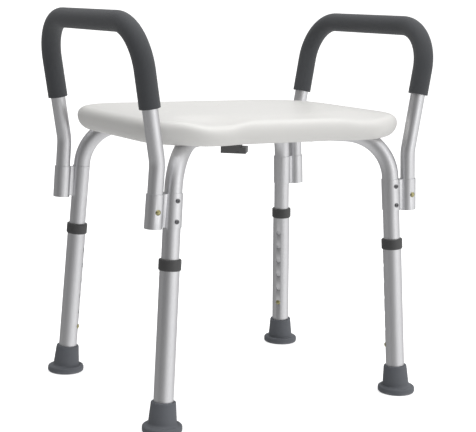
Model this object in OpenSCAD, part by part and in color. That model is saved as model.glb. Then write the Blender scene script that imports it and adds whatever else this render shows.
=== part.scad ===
// Shower stool: a hollow moulded seat on two crossed tubes, four telescoping legs,
// and two padded arms that lift out of brackets on the legs.
// +Z is up, the front of the seat faces -Y, and left is -X.
// The origin is on the floor, under the middle of the four feet.

/* [Seat] */
// Width of the seat, side to side
seat_w = 451; // [375:1:545]
// Depth of the seat, front to back
seat_d = 343; // [285:1:415]
// Thickness of the seat
seat_t = 37.5; // [34:0.5:46]
// Height of the seat's top with the legs at their shortest
seat_top = 438.5; // [425:0.5:540]
// Corner radius of the seat, seen from above
seat_corner_r = 95; // [70:1:120]
// Radius of the seat's upper edge; the rest of the thickness is the lower edge
seat_top_r = 16; // [12:0.5:18]
// Wall of the hollow seat
seat_wall = 3; // [2:0.25:4]
// How far the seat stands forward of the middle of the legs
seat_forward = 7; // [0:0.5:15]
// Diameter of the drain holes
drain_d = 5; // [3:0.5:8]

/* [Frame] */
// How much narrower than the seat the leg axes stand, left to right at the floor
stance_in_x = 33.4; // [0:0.2:80]
// How much closer than the seat's depth the leg axes stand, front to rear at the floor
stance_in_y = 9.8; // [0:0.2:60]
// Outward splay of the legs, in degrees
leg_tilt = 4.15; // [2:0.05:5]
// Outside diameter of the frame tubes
frame_od = 25.4; // [21:0.1:31]
// Wall of the frame tubes
frame_wall = 1.4; // [1:0.1:2]
// Radius of the frame tubes' bends, at the tube's axis
frame_bend_r = 70; // [55:1:80]
// Height of the frame tubes' axis above the seat's underside
frame_rise = 4; // [3:0.5:6]

/* [Legs] */
// Wall of the outer leg tubes
leg_wall = 1.4; // [1:0.1:2]
// Clearance between a frame tube and the outer leg tube around it, on radius
leg_gap = 0.2; // [0.1:0.05:0.4]
// Height of the lowest adjustment hole
first_hole_z = 76; // [70:1:90]
// Spacing of the adjustment holes
hole_pitch = 25.4; // [20:0.1:25.4]
// Number of adjustment holes in each leg
hole_count = 6; // [4:1:6]
// Diameter of the snap buttons
button_d = 7.8; // [6:0.1:8.4]
// Distance from the frame tubes' axis down to the top of a leg collar
collar_drop = 160; // [150:1:165]
// Height of a leg collar
collar_h = 16.4; // [12:0.2:20]
// How far a collar stands out from its leg tube, on radius
collar_out = 1.9; // [1.2:0.1:3]

/* [Feet] */
// Diameter of a foot at the floor
foot_d = 57.5; // [50:0.5:66]
// Height of a foot's flange
foot_flange_h = 10.5; // [8:0.5:13]
// Height of a foot
foot_h = 43.5; // [38:0.5:50]
// Thickness of rubber under a foot's washer
foot_sole = 5.5; // [4:0.5:8]

/* [Arms] */
// Outside diameter of the arm tubes
arm_od = 22.2; // [18.5:0.1:27]
// Wall of the arm tubes
arm_wall = 1.2; // [1:0.1:2]
// Length of the sockets that the arms stand in
socket_h = 48.2; // [40:0.2:58]
// Wall of the brackets
bracket_wall = 1.4; // [1:0.1:2]
// Distance from the frame tubes' axis down to the top of the brackets
bracket_drop = 67.5; // [64:0.5:72]
// Sideways distance from a leg's axis to the arm's axis at mid bracket
arm_out = 30.5; // [29:0.1:36]
// The same distance towards the front or rear
arm_along = 3.2; // [0:0.1:6]
// Height of the arm's bend above the brackets
arm_bend_up = 42.3; // [36:0.1:50]
// Outward lean of an arm above its bend, in degrees
arm_lean = 9.5; // [0:0.5:14]
// Length from the bend to the axis of the top bar
arm_rise = 192.4; // [180:0.2:230]
// Radius of an arm's upper corners, at the tube's axis
arm_corner_r = 65; // [50:1:75]
// Wall of the foam pads
pad_wall = 3.9; // [3:0.1:5]
// Bare tube between the bend and the pad: left arm's front post
bare_left_front = 76.3; // [60:0.1:110]
// Bare tube on the left arm's rear post
bare_left_rear = 67.7; // [60:0.1:110]
// Bare tube on the right arm's front post
bare_right_front = 88.5; // [60:0.1:110]
// Bare tube on the right arm's rear post
bare_right_rear = 70.4; // [60:0.1:110]

/* [Hidden] */
$fn = 64;
SIDES = ["front_left", "front_right", "rear_left", "rear_right"];
ARMS = ["left", "right"];

// clearances
tube_gap = 0.4;       // seat channels around the frame tubes
press_gap = 0.02;     // collars and feet on the leg tubes
slide_gap = 0.2;      // collar's lip on the frame tube
socket_gap = 0.08;    // arm post in its socket
hole_gap = 0.15;      // snap buttons and screws in their holes

// where a bend meets a straight bar, a disc joins them across a hairline gap
seam_gap = 0.02;
seam_l = 0.1;
seam_depth = 0.3;

// the legs stand under the seat, so they follow its width and depth
stance_x = seat_w - stance_in_x;
stance_y = seat_d - stance_in_y;

// the plane of each frame tube, and its legs
leg_r0 = norm([stance_x, stance_y]) / 2;
frame_az = atan2(stance_y, stance_x);
seat_z0 = seat_top - seat_t;
frame_z = seat_z0 + frame_rise;
frame_r = frame_od / 2;
bend_tangent = frame_bend_r * tan((90 - leg_tilt) / 2);
bend_s = frame_z / cos(leg_tilt) - bend_tangent;
bend_x = leg_r0 - frame_z * tan(leg_tilt) - bend_tangent;
slope_x = tan(leg_tilt) * cos(frame_az);
slope_y = tan(leg_tilt) * sin(frame_az);
function leg_x(z) = stance_x / 2 - slope_x * z;
function leg_y(z) = stance_y / 2 - slope_y * z;

// legs
leg_bore_r = frame_r + leg_gap;
leg_r = leg_bore_r + leg_wall;
collar_top_s = (frame_z - collar_drop) / cos(leg_tilt);
collar_lip = 3;
collar_edge = 2;
washer_t = 2;
leg_bottom_s = foot_sole + washer_t;
leg_top_s = collar_top_s - collar_lip;
button_s = first_hole_z / cos(leg_tilt);
button_r = button_d / 2;
button_stand = 1.8;
button_dome = 1.7;
flange_t = 0.8;
flange_out = 1.1;
frame_tail = 17;
frame_end_s = button_s - frame_tail;
spring_t = 0.6;
spring_w = 6;
spring_run = 20;

// feet: how far the cone stands out from the leg, and the grooves under the sole
foot_cone_low = 6.7;
foot_cone_top = 3.6;
foot_edge = 3.5;
GROOVES = [10, 17];
groove_w = 3;
groove_t = 1.2;

// half-lap where the two frame tubes cross
lap_angle = 2 * frame_az;
lap_margin = 0.9;
lap_half = frame_r / sin(lap_angle) + frame_r / abs(tan(lap_angle)) + lap_margin;
lap_gap = 0.1;

// clamp at the crossing
clamp_drop = 36.7;
clamp_foot_z = frame_z - clamp_drop;
clamp_foot_t = 9.5;
clamp_past_lap = 2.7;
clamp_short_of_lap = 1.3;
clamp_foot_l = 2 * (lap_half + clamp_past_lap);
clamp_w = 2 * (lap_half - clamp_short_of_lap);
clamp_block_l = 30;
clamp_cap_t = 6;
clamp_cap_w = 34;
clamp_bolt_r = 3;
clamp_head_r = 5.5;
clamp_head_t = 4.5;

// seat fixings
seat_screw_r = 2.4;
seat_screw_at = 118;
seat_screw_head_r = 5;
seat_screw_head_t = 2.6;
seat_boss_wall = 4.5;
seat_screw_in = 11;
seat_screw_up = frame_r + seat_screw_in;
// a seat channel ends just past the place where the bend leaves the seat's underside
channel_margin = 1.5;
channel_r = frame_bend_r + frame_r + tube_gap;
bend_drop = frame_bend_r - frame_rise;
channel_end = bend_x + sqrt(channel_r * channel_r - bend_drop * bend_drop) + channel_margin;
// drain holes: two near the middle, then four and four more as shares of the half width and depth
drain_y = 60;
drain_shares = [[0.31, 0.61], [0.62, 0.2]];
DRAINS = concat([[0, drain_y], [0, -drain_y]],
    [for (s = drain_shares, x = [-0.5, 0.5], y = [-0.5, 0.5]) [x * s[0] * seat_w, y * s[1] * seat_d]]);

// brackets and arms
arm_r = arm_od / 2;
socket_bore_r = arm_r + socket_gap;
socket_r = socket_bore_r + bracket_wall;
saddle_gap = 0.05;
saddle_bore_r = frame_r + saddle_gap;
saddle_r = saddle_bore_r + bracket_wall;
saddle_open = 90;
bracket_top = frame_z - bracket_drop;
bracket_mid = bracket_top - socket_h / 2;
web_w = 9;
arm_offset = norm([arm_out, arm_along]);
arm_az = atan2(arm_along, arm_out);
post_tilt = atan(slope_x);
post_x = leg_x(bracket_mid) + arm_out;
post_y = leg_y(bracket_mid) + arm_along;
post_gap = 0.7;
post_bottom = post_gap - socket_h / 2;
post_bend = (socket_h / 2 + arm_bend_up) / cos(post_tilt);
arm_bend_r = 60;
arm_bend_tangent = arm_bend_r * tan((post_tilt + arm_lean) / 2);
pad_r = arm_r + pad_wall;
SCREW_DROPS = [10, 39];
screw_z = [for (d = SCREW_DROPS) bracket_top - d];
screw_r = 1.9;
screw_head_r = 3.3;
screw_head_t = 2;
screw_in = 6;

function is_left(c) = c == "left" || c == "front_left" || c == "rear_left";
function is_front(c) = c == "front_left" || c == "front_right";

// ---- placing: every corner is the rear right one, mirrored ----

module flip_y(on) {
    if (on) mirror([0, 1, 0]) children();
    else children();
}

module flip_x(on) {
    if (on) mirror([1, 0, 0]) children();
    else children();
}

module at_corner(c) {
    flip_x(is_left(c)) flip_y(is_front(c)) children();
}

// along a leg's axis, from the floor: +X points outwards, +Z up the leg
module leg_space() {
    rotate([0, 0, frame_az]) translate([leg_r0, 0, 0]) rotate([0, -leg_tilt, 0]) children();
}

// along an arm post's axis, from mid socket: +Z up the post
module post_space() {
    translate([post_x, post_y, bracket_mid]) rotate([0, -post_tilt, 0]) children();
}

// in the plane of an arm above its bend, from the bend's corner: +Z up the plane
module loop_space() {
    translate([post_x, 0, bracket_mid]) rotate([0, -post_tilt, 0]) translate([0, 0, post_bend])
        rotate([0, post_tilt + arm_lean, 0]) children();
}

// at a snap button: +X is the way it points, +Z along its tube
module leg_snap_space() {
    leg_space() translate([0, 0, button_s]) rotate([0, 0, 180]) children();
}

module arm_snap_space() {
    post_space() rotate([0, 0, 90]) children();
}

// ---- shapes used more than once ----

// a ring with rounded outer edges, standing on z = 0
module rounded_ring(r_in, r_out, h, edge) {
    rotate_extrude() {
        translate([r_in, 0]) square([r_out - edge - r_in, h]);
        translate([r_in, edge]) square([r_out - r_in, h - 2 * edge]);
        intersection() {
            union() for (z = [edge, h - edge]) translate([r_out - edge, z]) circle(edge);
            translate([r_out - edge, 0]) square([edge, h]);
        }
    }
}

// section through the seat's edge: two arcs that meet at the seat's widest line
module edge_section(reach, t, r_top) {
    r_low = t - r_top;
    square([reach - r_low, t]);
    translate([0, r_low]) square([reach - r_top, r_top]);
    intersection() {
        translate([reach - r_low, r_low]) circle(r_low);
        square([reach, r_low]);
    }
    intersection() {
        translate([reach - r_top, r_low]) circle(r_top);
        translate([0, r_low]) square([reach, r_top]);
    }
}

// a slab with round corners and a round edge all the way, standing on z = 0
module rounded_slab(w, d, t, r_corner, r_top) {
    x = w / 2 - r_corner;
    y = d / 2 - r_corner;
    translate([-x, -y, 0]) cube([2 * x, 2 * y, t]);
    for (side = [0, 180]) rotate([0, 0, side]) {
        translate([x, y, 0]) rotate([90, 0, 0]) linear_extrude(2 * y)
            edge_section(r_corner, t, r_top);
        translate([-x, y, 0]) rotate([90, 0, 90]) linear_extrude(2 * x)
            edge_section(r_corner, t, r_top);
        translate([x, y, 0]) rotate_extrude(angle = 90) edge_section(r_corner, t, r_top);
        translate([-x, y, 0]) rotate([0, 0, 90]) rotate_extrude(angle = 90)
            edge_section(r_corner, t, r_top);
    }
}

// joins a bend to a straight bar: a short disc, thinner than a bar and wider than a bore
module seam(r, bore) {
    translate([0, 0, -seam_l]) cylinder(r = r + (bore ? seam_depth : -seam_depth), h = 2 * seam_l);
}

// a round bar along one frame tube: leg, bend, middle, bend, leg
module frame_run(r, bottom_s, bore = false) {
    middle = bend_x - seam_gap;
    translate([-middle, 0, frame_z]) rotate([0, 90, 0]) cylinder(r = r, h = 2 * middle);
    for (side = [0, 180]) rotate([0, 0, side]) {
        translate([bend_x, 0, frame_z]) rotate([0, 90, 0]) seam(r, bore);
        translate([bend_x, 0, frame_z - frame_bend_r]) rotate([0, -leg_tilt, 0])
            rotate([90, 0, 0]) rotate_extrude(angle = 90 - leg_tilt)
            translate([frame_bend_r, 0]) circle(r);
        translate([leg_r0, 0, 0]) rotate([0, -leg_tilt, 0]) {
            translate([0, 0, bend_s]) seam(r, bore);
            translate([0, 0, bottom_s]) cylinder(r = r, h = bend_s - seam_gap - bottom_s);
        }
    }
}

// the half of a frame tube that is pressed in at the crossing, or that with a wall around it
module lap_room(up, wall) {
    half = lap_half + wall;
    translate([-half, -frame_r - 1, frame_z + (up ? -frame_r - 1 : -lap_gap - wall)])
        cube([2 * half, frame_od + 2, frame_r + 1 + lap_gap + wall]);
}

// one bent tube; up says whether it is the upper one at the crossing
module frame_tube(az, up, corners) {
    difference() {
        rotate([0, 0, az]) difference() {
            frame_run(frame_r, frame_end_s);
            difference() {
                frame_run(frame_r - frame_wall, frame_end_s - 1, bore = true);
                lap_room(up, frame_wall);
            }
            lap_room(up, 0);
        }
        translate([0, 0, frame_z - frame_od]) cylinder(r = clamp_bolt_r + hole_gap, h = 2 * frame_od);
        for (c = corners) at_corner(c) {
            leg_snap_space() rotate([0, 90, 0]) cylinder(r = button_r + hole_gap, h = frame_od);
            rotate([0, 0, frame_az]) translate([seat_screw_at, 0, frame_z - frame_od])
                cylinder(r = seat_screw_r + hole_gap, h = 2 * frame_od);
            for (z = screw_z) translate([leg_x(z), leg_y(z), z]) rotate([-90, 0, 0])
                cylinder(r = screw_r + hole_gap, h = frame_od);
        }
    }
}

// a round bar along an arm's post, from the socket up to the bend's start
module post_bar(r, bottom, bore) {
    top = post_bend - arm_bend_tangent;
    post_space() {
        translate([0, 0, bottom]) cylinder(r = r, h = top - seam_gap - bottom);
        translate([0, 0, top]) seam(r, bore);
    }
}

// the bend between a post and the leaning part above it
module post_bend_bar(r, bore) {
    post_space() translate([arm_bend_r, 0, post_bend - arm_bend_tangent])
        rotate([0, post_tilt + arm_lean - 180, 0]) rotate([90, 0, 0])
        rotate_extrude(angle = post_tilt + arm_lean) translate([arm_bend_r, 0]) circle(r);
    loop_space() translate([0, post_y, arm_bend_tangent]) seam(r, bore);
}

// a round bar along an arm above its bends, from given distances up each post
module loop_bar(r, from_front, from_rear, bore = false) {
    top = arm_rise - arm_corner_r;
    half = post_y - arm_corner_r;
    loop_space() {
        translate([0, -post_y, from_front]) cylinder(r = r, h = top - seam_gap - from_front);
        translate([0, post_y, from_rear]) cylinder(r = r, h = top - seam_gap - from_rear);
        translate([0, seam_gap - half, arm_rise]) rotate([-90, 0, 0])
            cylinder(r = r, h = 2 * (half - seam_gap));
        for (side = [0, 1]) mirror([0, side, 0]) {
            translate([0, post_y, top]) seam(r, bore);
            translate([0, half, arm_rise]) rotate([-90, 0, 0]) seam(r, bore);
            translate([0, half, top]) rotate([90, 0, 90]) rotate_extrude(angle = 90)
                translate([arm_corner_r, 0]) circle(r);
        }
    }
}

// the whole path of an arm
module arm_run(r, bottom, bore = false) {
    above = arm_bend_tangent + seam_gap;
    loop_bar(r, above, above, bore);
    for (front = [false, true]) flip_y(front) {
        post_bar(r, bottom, bore);
        post_bend_bar(r, bore);
    }
}

// a button with a flange behind it, pointing along +X
module snap_button(flange_x, tip_x) {
    dome_r = (button_r * button_r + button_dome * button_dome) / (2 * button_dome);
    rotate([0, 90, 0]) {
        translate([0, 0, flange_x]) cylinder(r = button_r + flange_out, h = flange_t);
        translate([0, 0, flange_x]) cylinder(r = button_r, h = tip_x - button_dome - flange_x);
        rotate_extrude() intersection() {
            translate([0, tip_x - dome_r]) circle(dome_r);
            translate([0, tip_x - button_dome]) square([button_r, button_dome]);
        }
    }
}

// a hairpin leaf spring: its front leaf presses on the button's flange
module snap_spring(front_x, back_x) {
    mid = (front_x + back_x) / 2;
    r = (front_x - back_x) / 2;
    rotate([90, 0, 0]) linear_extrude(spring_w, center = true) {
        translate([front_x - spring_t, -button_r - 1]) square([spring_t, button_r + 1 + spring_run]);
        translate([back_x, -button_r - 5]) square([spring_t, button_r + 5 + spring_run]);
        translate([mid, spring_run]) intersection() {
            difference() {
                circle(r);
                circle(r - spring_t);
            }
            translate([-r - 1, 0]) square([2 * r + 2, r + 1]);
        }
    }
}

// how far from the tube's axis a flat of half width w can lie inside a bore, to a tenth
function inside(bore_r, w) = floor(10 * (sqrt(bore_r * bore_r - w * w) - 0.1)) / 10;

// ---- seat ----

// the room that the frame tubes and the clamp's cap take in the seat's underside
module seat_channels(grow) {
    r = frame_r + tube_gap + grow;
    cap = clamp_cap_w + 2 * (tube_gap + grow);
    end = channel_end + grow;
    for (az = [-frame_az, frame_az]) rotate([0, 0, az]) rotate([90, 0, 0])
        linear_extrude(2 * r, center = true) intersection() {
            translate([-end, seat_z0 - 1]) square([2 * end, seat_t]);
            union() {
                translate([-bend_x, seat_z0 - 1]) square([2 * bend_x, frame_rise + 1 + r]);
                for (x = [-bend_x, bend_x]) translate([x, frame_z - frame_bend_r]) circle(frame_bend_r + r);
            }
        }
    translate([-cap / 2, -cap / 2, seat_z0 - 1])
        cube([cap, cap, frame_rise + frame_r + clamp_cap_t + 2 + grow]);
}

module seat_screw_places() {
    for (c = SIDES) at_corner(c) rotate([0, 0, frame_az]) translate([seat_screw_at, 0, frame_z])
        children();
}

module drain_places() {
    for (p = DRAINS) translate([p.x, p.y - seat_forward, seat_z0]) children();
}

module seat() {
    inner = 2 * seat_wall;
    color("white") difference() {
        translate([0, -seat_forward, seat_z0])
            rounded_slab(seat_w, seat_d, seat_t, seat_corner_r, seat_top_r);
        difference() {
            translate([0, -seat_forward, seat_z0 + seat_wall])
                rounded_slab(seat_w - inner, seat_d - inner, seat_t - inner,
                    seat_corner_r - seat_wall, seat_top_r - seat_wall);
            seat_channels(seat_wall);
            seat_screw_places() cylinder(r = seat_screw_r + seat_boss_wall, h = seat_t);
            drain_places() cylinder(r = drain_d / 2 + seat_wall, h = seat_t);
        }
        seat_channels(0);
        seat_screw_places() cylinder(r = seat_screw_r + 0.03, h = seat_screw_up + 0.5);
        drain_places() translate([0, 0, -1]) cylinder(d = drain_d, h = seat_t + 2);
    }
}

module seat_screws() {
    color("silver") seat_screw_places() {
        translate([0, 0, -frame_r - seat_screw_head_t])
            cylinder(r = seat_screw_head_r, h = seat_screw_head_t);
        translate([0, 0, -frame_r]) cylinder(r = seat_screw_r, h = frame_r + seat_screw_up);
    }
}

// ---- clamp where the frame tubes cross ----

module clamp_foot() {
    block_t = frame_z - frame_r / 2 - clamp_foot_z;
    color("dimgray") difference() {
        rotate([0, 0, -frame_az]) {
            translate([-clamp_foot_l / 2, -clamp_w / 2, clamp_foot_z])
                cube([clamp_foot_l, clamp_w, clamp_foot_t]);
            translate([-clamp_foot_l / 2, -clamp_w / 2, clamp_foot_z])
                cube([clamp_block_l, clamp_w, block_t]);
        }
        for (az = [-frame_az, frame_az]) rotate([0, 0, az]) frame_run(frame_r + saddle_gap, bend_s - 1);
        translate([0, 0, clamp_foot_z - 1])
            cylinder(r = clamp_bolt_r + hole_gap, h = block_t + 2);
        translate([0, 0, clamp_foot_z - 1])
            cylinder(r = clamp_head_r + hole_gap, h = clamp_head_t + 1);
    }
}

module clamp_cap() {
    color("dimgray") difference() {
        translate([-clamp_cap_w / 2, -clamp_cap_w / 2, frame_z + frame_r / 2])
            cube([clamp_cap_w, clamp_cap_w, frame_r / 2 + clamp_cap_t]);
        for (az = [-frame_az, frame_az]) rotate([0, 0, az]) frame_run(frame_r + saddle_gap, bend_s - 1);
        translate([0, 0, frame_z]) cylinder(r = clamp_bolt_r + hole_gap, h = frame_od);
        translate([0, 0, frame_z + frame_r + 2]) cylinder(r = clamp_head_r + hole_gap, h = frame_r, $fn = 6);
    }
}

module clamp_bolt() {
    color("silver") {
        translate([0, 0, clamp_foot_z]) cylinder(r = clamp_head_r, h = clamp_head_t, $fn = 6);
        translate([0, 0, clamp_foot_z])
            cylinder(r = clamp_bolt_r, h = frame_z + frame_r + clamp_cap_t - clamp_foot_z);
    }
}

module clamp_nut() {
    color("silver") translate([0, 0, frame_z + frame_r + 2]) difference() {
        cylinder(r = clamp_head_r, h = clamp_cap_t - 2.5, $fn = 6);
        translate([0, 0, -1]) cylinder(r = clamp_bolt_r + 0.02, h = clamp_cap_t);
    }
}

// ---- arm brackets ----

module arm_bracket() {
    low_s = (bracket_top - socket_h) / cos(leg_tilt);
    open_az = 180 + arm_az - frame_az;
    reach = 4 * saddle_r;
    color("gainsboro") difference() {
        union() {
            leg_space() translate([0, 0, low_s]) cylinder(r = saddle_r, h = socket_h);
            post_space() translate([0, 0, -socket_h / 2]) cylinder(r = socket_r, h = socket_h);
            translate([leg_x(bracket_mid), leg_y(bracket_mid), bracket_mid]) rotate([0, 0, arm_az])
                translate([0, -web_w / 2, 1 - socket_h / 2]) cube([arm_offset, web_w, socket_h - 2]);
        }
        leg_space() translate([0, 0, low_s - 1]) {
            cylinder(r = saddle_bore_r, h = socket_h + 2);
            rotate([0, 0, open_az]) linear_extrude(socket_h + 2) polygon([[0, 0],
                reach * [cos(saddle_open / 2), -sin(saddle_open / 2)],
                reach * [cos(saddle_open / 2), sin(saddle_open / 2)]]);
        }
        post_space() translate([0, 0, -socket_h]) cylinder(r = socket_bore_r, h = 2 * socket_h);
        arm_snap_space() rotate([0, 90, 0]) cylinder(r = button_r + hole_gap, h = 2 * socket_r);
        for (z = screw_z) translate([leg_x(z), leg_y(z), z]) rotate([-90, 0, 0]) {
            cylinder(r = screw_r + hole_gap, h = 2 * saddle_r);
            translate([0, 0, saddle_r]) cylinder(r = screw_head_r + hole_gap, h = saddle_r);
        }
    }
}

module bracket_screws() {
    color("dimgray") for (c = SIDES) at_corner(c) for (z = screw_z)
        translate([leg_x(z), leg_y(z) + saddle_r, z]) rotate([-90, 0, 0]) {
            translate([0, 0, saddle_gap]) cylinder(r = screw_head_r, h = screw_head_t);
            translate([0, 0, -screw_in]) cylinder(r = screw_r, h = screw_in + 1);
        }
}

// ---- legs ----

module leg_spring() {
    bore = frame_r - frame_wall;
    color("silver") leg_snap_space()
        snap_spring(inside(bore, button_r + flange_out) - flange_t, -inside(bore, spring_w / 2));
}

module leg_button() {
    bore = frame_r - frame_wall;
    color("olive") leg_snap_space()
        snap_button(inside(bore, button_r + flange_out) - flange_t, leg_r + button_stand);
}

module lower_leg() {
    color("silver") leg_space() difference() {
        translate([0, 0, leg_bottom_s]) cylinder(r = leg_r, h = leg_top_s - leg_bottom_s);
        translate([0, 0, leg_bottom_s - 1]) cylinder(r = leg_bore_r, h = leg_top_s - leg_bottom_s + 2);
        for (n = [0 : hole_count - 1]) translate([0, 0, button_s + n * hole_pitch])
            rotate([0, -90, 0]) cylinder(r = button_r + hole_gap, h = leg_r + 2);
    }
}

module leg_collar() {
    color("dimgray") leg_space() translate([0, 0, collar_top_s - collar_h]) difference() {
        rounded_ring(frame_r + slide_gap, leg_r + collar_out, collar_h, collar_edge);
        translate([0, 0, -1]) cylinder(r = leg_r + press_gap, h = collar_h - collar_lip + 1);
    }
}

module foot() {
    cone_low_r = leg_r + foot_cone_low;
    cone_top_r = leg_r + foot_cone_top;
    color("slategray") difference() {
        union() {
            rotate([0, 0, frame_az]) translate([leg_r0, 0, 0])
                rounded_ring(0, foot_d / 2, foot_flange_h, foot_edge);
            leg_space() translate([0, 0, foot_flange_h / 2])
                cylinder(r1 = cone_low_r, r2 = cone_top_r, h = foot_h - foot_flange_h / 2);
        }
        leg_space() translate([0, 0, foot_sole]) cylinder(r = leg_r + press_gap, h = foot_h);
        for (r = GROOVES) rotate([0, 0, frame_az]) translate([leg_r0, 0, -1]) difference() {
            cylinder(r = r + groove_w, h = 1 + groove_t);
            translate([0, 0, -1]) cylinder(r = r, h = 3 + groove_t);
        }
    }
}

module foot_washer() {
    color("silver") leg_space() translate([0, 0, foot_sole]) cylinder(r = leg_r - 0.1, h = washer_t);
}

// ---- arms ----

module arm_spring() {
    bore = arm_r - arm_wall;
    color("silver") arm_snap_space()
        snap_spring(inside(bore, button_r + flange_out) - flange_t, -inside(bore, spring_w / 2));
}

module arm_button() {
    bore = arm_r - arm_wall;
    color("olive") arm_snap_space()
        snap_button(inside(bore, button_r + flange_out) - flange_t, socket_r + button_stand);
}

module arm_tube() {
    color("silver") difference() {
        arm_run(arm_r, post_bottom);
        arm_run(arm_r - arm_wall, post_bottom - 1, bore = true);
        for (front = [false, true]) flip_y(front) arm_snap_space() rotate([0, 90, 0])
            cylinder(r = button_r + hole_gap, h = arm_od);
    }
}

module arm_pad(bare_front, bare_rear) {
    color("dimgray") difference() {
        loop_bar(pad_r, bare_front, bare_rear);
        loop_bar(arm_r + press_gap, bare_front - 1, bare_rear - 1, bore = true);
    }
}

seat();
seat_screws();
frame_tube(frame_az, true, ["front_left", "rear_right"]);  // frame_tube_left
frame_tube(-frame_az, false, ["front_right", "rear_left"]);  // frame_tube_right
clamp_foot();
clamp_cap();
clamp_bolt();
clamp_nut();
bracket_screws();
for (c = SIDES) {
    at_corner(c) arm_bracket();
    at_corner(c) leg_spring();
    at_corner(c) leg_button();
    at_corner(c) lower_leg();
    at_corner(c) leg_collar();
    at_corner(c) foot();
    at_corner(c) foot_washer();
    at_corner(c) arm_spring();
    at_corner(c) arm_button();
}
flip_x(true) arm_tube();  // arm_tube_left
arm_tube();  // arm_tube_right
flip_x(true) arm_pad(bare_left_front, bare_left_rear);  // arm_pad_left
arm_pad(bare_right_front, bare_right_rear);  // arm_pad_right
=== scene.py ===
"""A shower stool: a white moulded seat on a crossed tube frame, telescoping legs and padded arms."""

import math

import bmesh
import bpy
from bpy.props import FloatProperty, FloatVectorProperty, PointerProperty
from mathutils import Matrix, Vector


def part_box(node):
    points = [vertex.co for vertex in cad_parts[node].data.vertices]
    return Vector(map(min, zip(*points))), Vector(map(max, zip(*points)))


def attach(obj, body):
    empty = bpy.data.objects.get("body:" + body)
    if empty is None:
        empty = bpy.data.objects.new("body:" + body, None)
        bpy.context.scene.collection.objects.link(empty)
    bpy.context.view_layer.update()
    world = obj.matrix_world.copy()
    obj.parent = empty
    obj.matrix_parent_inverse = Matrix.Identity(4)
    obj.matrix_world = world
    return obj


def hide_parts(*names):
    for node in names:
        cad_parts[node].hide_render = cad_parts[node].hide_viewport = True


bl_info = {
    "name": "Shower Stool",
    "version": (1, 0, 0),
    "blender": (4, 5, 0),
    "location": "3D Viewport > Sidebar > Stool",
    "description": "Models the stool's visible pieces around its CAD frame, and lights them",
    "category": "Object",
}

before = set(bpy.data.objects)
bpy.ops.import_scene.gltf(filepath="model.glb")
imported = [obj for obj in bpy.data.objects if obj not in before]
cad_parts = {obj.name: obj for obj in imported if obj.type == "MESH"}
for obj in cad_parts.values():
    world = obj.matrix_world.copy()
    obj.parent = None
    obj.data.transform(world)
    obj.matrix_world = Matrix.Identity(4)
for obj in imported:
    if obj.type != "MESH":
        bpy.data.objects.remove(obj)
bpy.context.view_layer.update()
MM = 0.001
SIDES = ("left", "right")
CORNERS = ("front_left", "front_right", "rear_left", "rear_right")

# walls and clearances
TUBE_WALL = 1.4 * MM
ARM_WALL = 1.2 * MM
SNUG = 0.05 * MM
HOLE_ROOM = 0.15 * MM

# legs, arms and brackets
HOLES = 6
UPPER_TUBE_END = 330 * MM
COLLAR_DROP = 160 * MM
ARM_BEND = 60 * MM
SADDLE_TO_SOCKET = Vector((30.5 * MM, 3.2 * MM, 0))
SCREW_DROPS = (10 * MM, 39 * MM)

# seat and clamp: places from the middle, (length, width, height) of the plate, (side, height) of the cap
DIP_X = 127 * MM
SCREW_X = 118 * MM
CLAMP_DROP = 36.7 * MM
CLAMP_PLATE = (39 * MM, 31 * MM, 9.5 * MM)
CLAMP_BLOCK = 30 * MM
CLAMP_CAP = (34 * MM, 6 * MM)
BOLT, BOLT_HEAD, BOLT_HEAD_HEIGHT = 3 * MM, 5.5 * MM, 4.5 * MM

seat_low, seat_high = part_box("seat")


# ---- sizes and colours that a user would change ----


def length(name, description, default):
    """A property for a length in metres."""
    return FloatProperty(name=name, description=description, default=default, unit="LENGTH")


def colour(name, description, default):
    """A property for a colour."""
    return FloatVectorProperty(
        name=name, description=description, default=default, subtype="COLOR", size=3, min=0, max=1
    )


class StoolSizes(bpy.types.PropertyGroup):
    """Sizes of the stool, as its CAD frame has them."""

    seat_width: length("Seat width", "Side to side", seat_high.x - seat_low.x)
    seat_depth: length("Seat depth", "Front to back", seat_high.y - seat_low.y)
    seat_corner: length("Seat corner", "Corner radius seen from above", 95 * MM)
    seat_top_edge: length("Seat top edge", "Radius of the upper edge", 16 * MM)
    seat_crown: length("Seat crown", "How far the seat's top falls towards its edges", 2.4 * MM)
    seat_dip: length("Seat dip", "Depth of the left dip in the front edge", 6.5 * MM)
    stance_width: length("Stance width", "Left to right leg axes at the floor", 417.6 * MM)
    stance_depth: length("Stance depth", "Front to rear leg axes at the floor", 333.2 * MM)
    leg_splay: FloatProperty(
        name="Leg splay", description="Outward tilt of each leg", default=math.radians(4.15), subtype="ANGLE"
    )
    frame_tube: length("Frame tube", "Outside diameter of the frame tubes", 25.4 * MM)
    frame_height: length("Frame height", "Axis of the frame tubes under the seat", 405 * MM)
    frame_bend: length("Frame bend", "Radius of the frame tubes' bends", 70 * MM)
    leg_tube: length("Leg tube", "Outside diameter of the lower legs", 28.6 * MM)
    first_hole: length("First hole", "Height of the lowest adjustment hole", 76 * MM)
    hole_pitch: length("Hole pitch", "Spacing of the adjustment holes", 25.4 * MM)
    button: length("Button", "Diameter of the snap buttons", 7.8 * MM)
    arm_tube: length("Arm tube", "Outside diameter of the arm tubes", 22.2 * MM)
    arm_pad: length("Arm pad", "Outside diameter of the foam grips", 30 * MM)
    arm_corner: length("Arm corner", "Radius of the arms' upper corners", 65 * MM)
    bracket_height: length("Bracket height", "Height of a bracket", 48.2 * MM)
    bracket_top: length("Bracket top", "Top of the brackets above the floor", 337.5 * MM)


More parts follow.
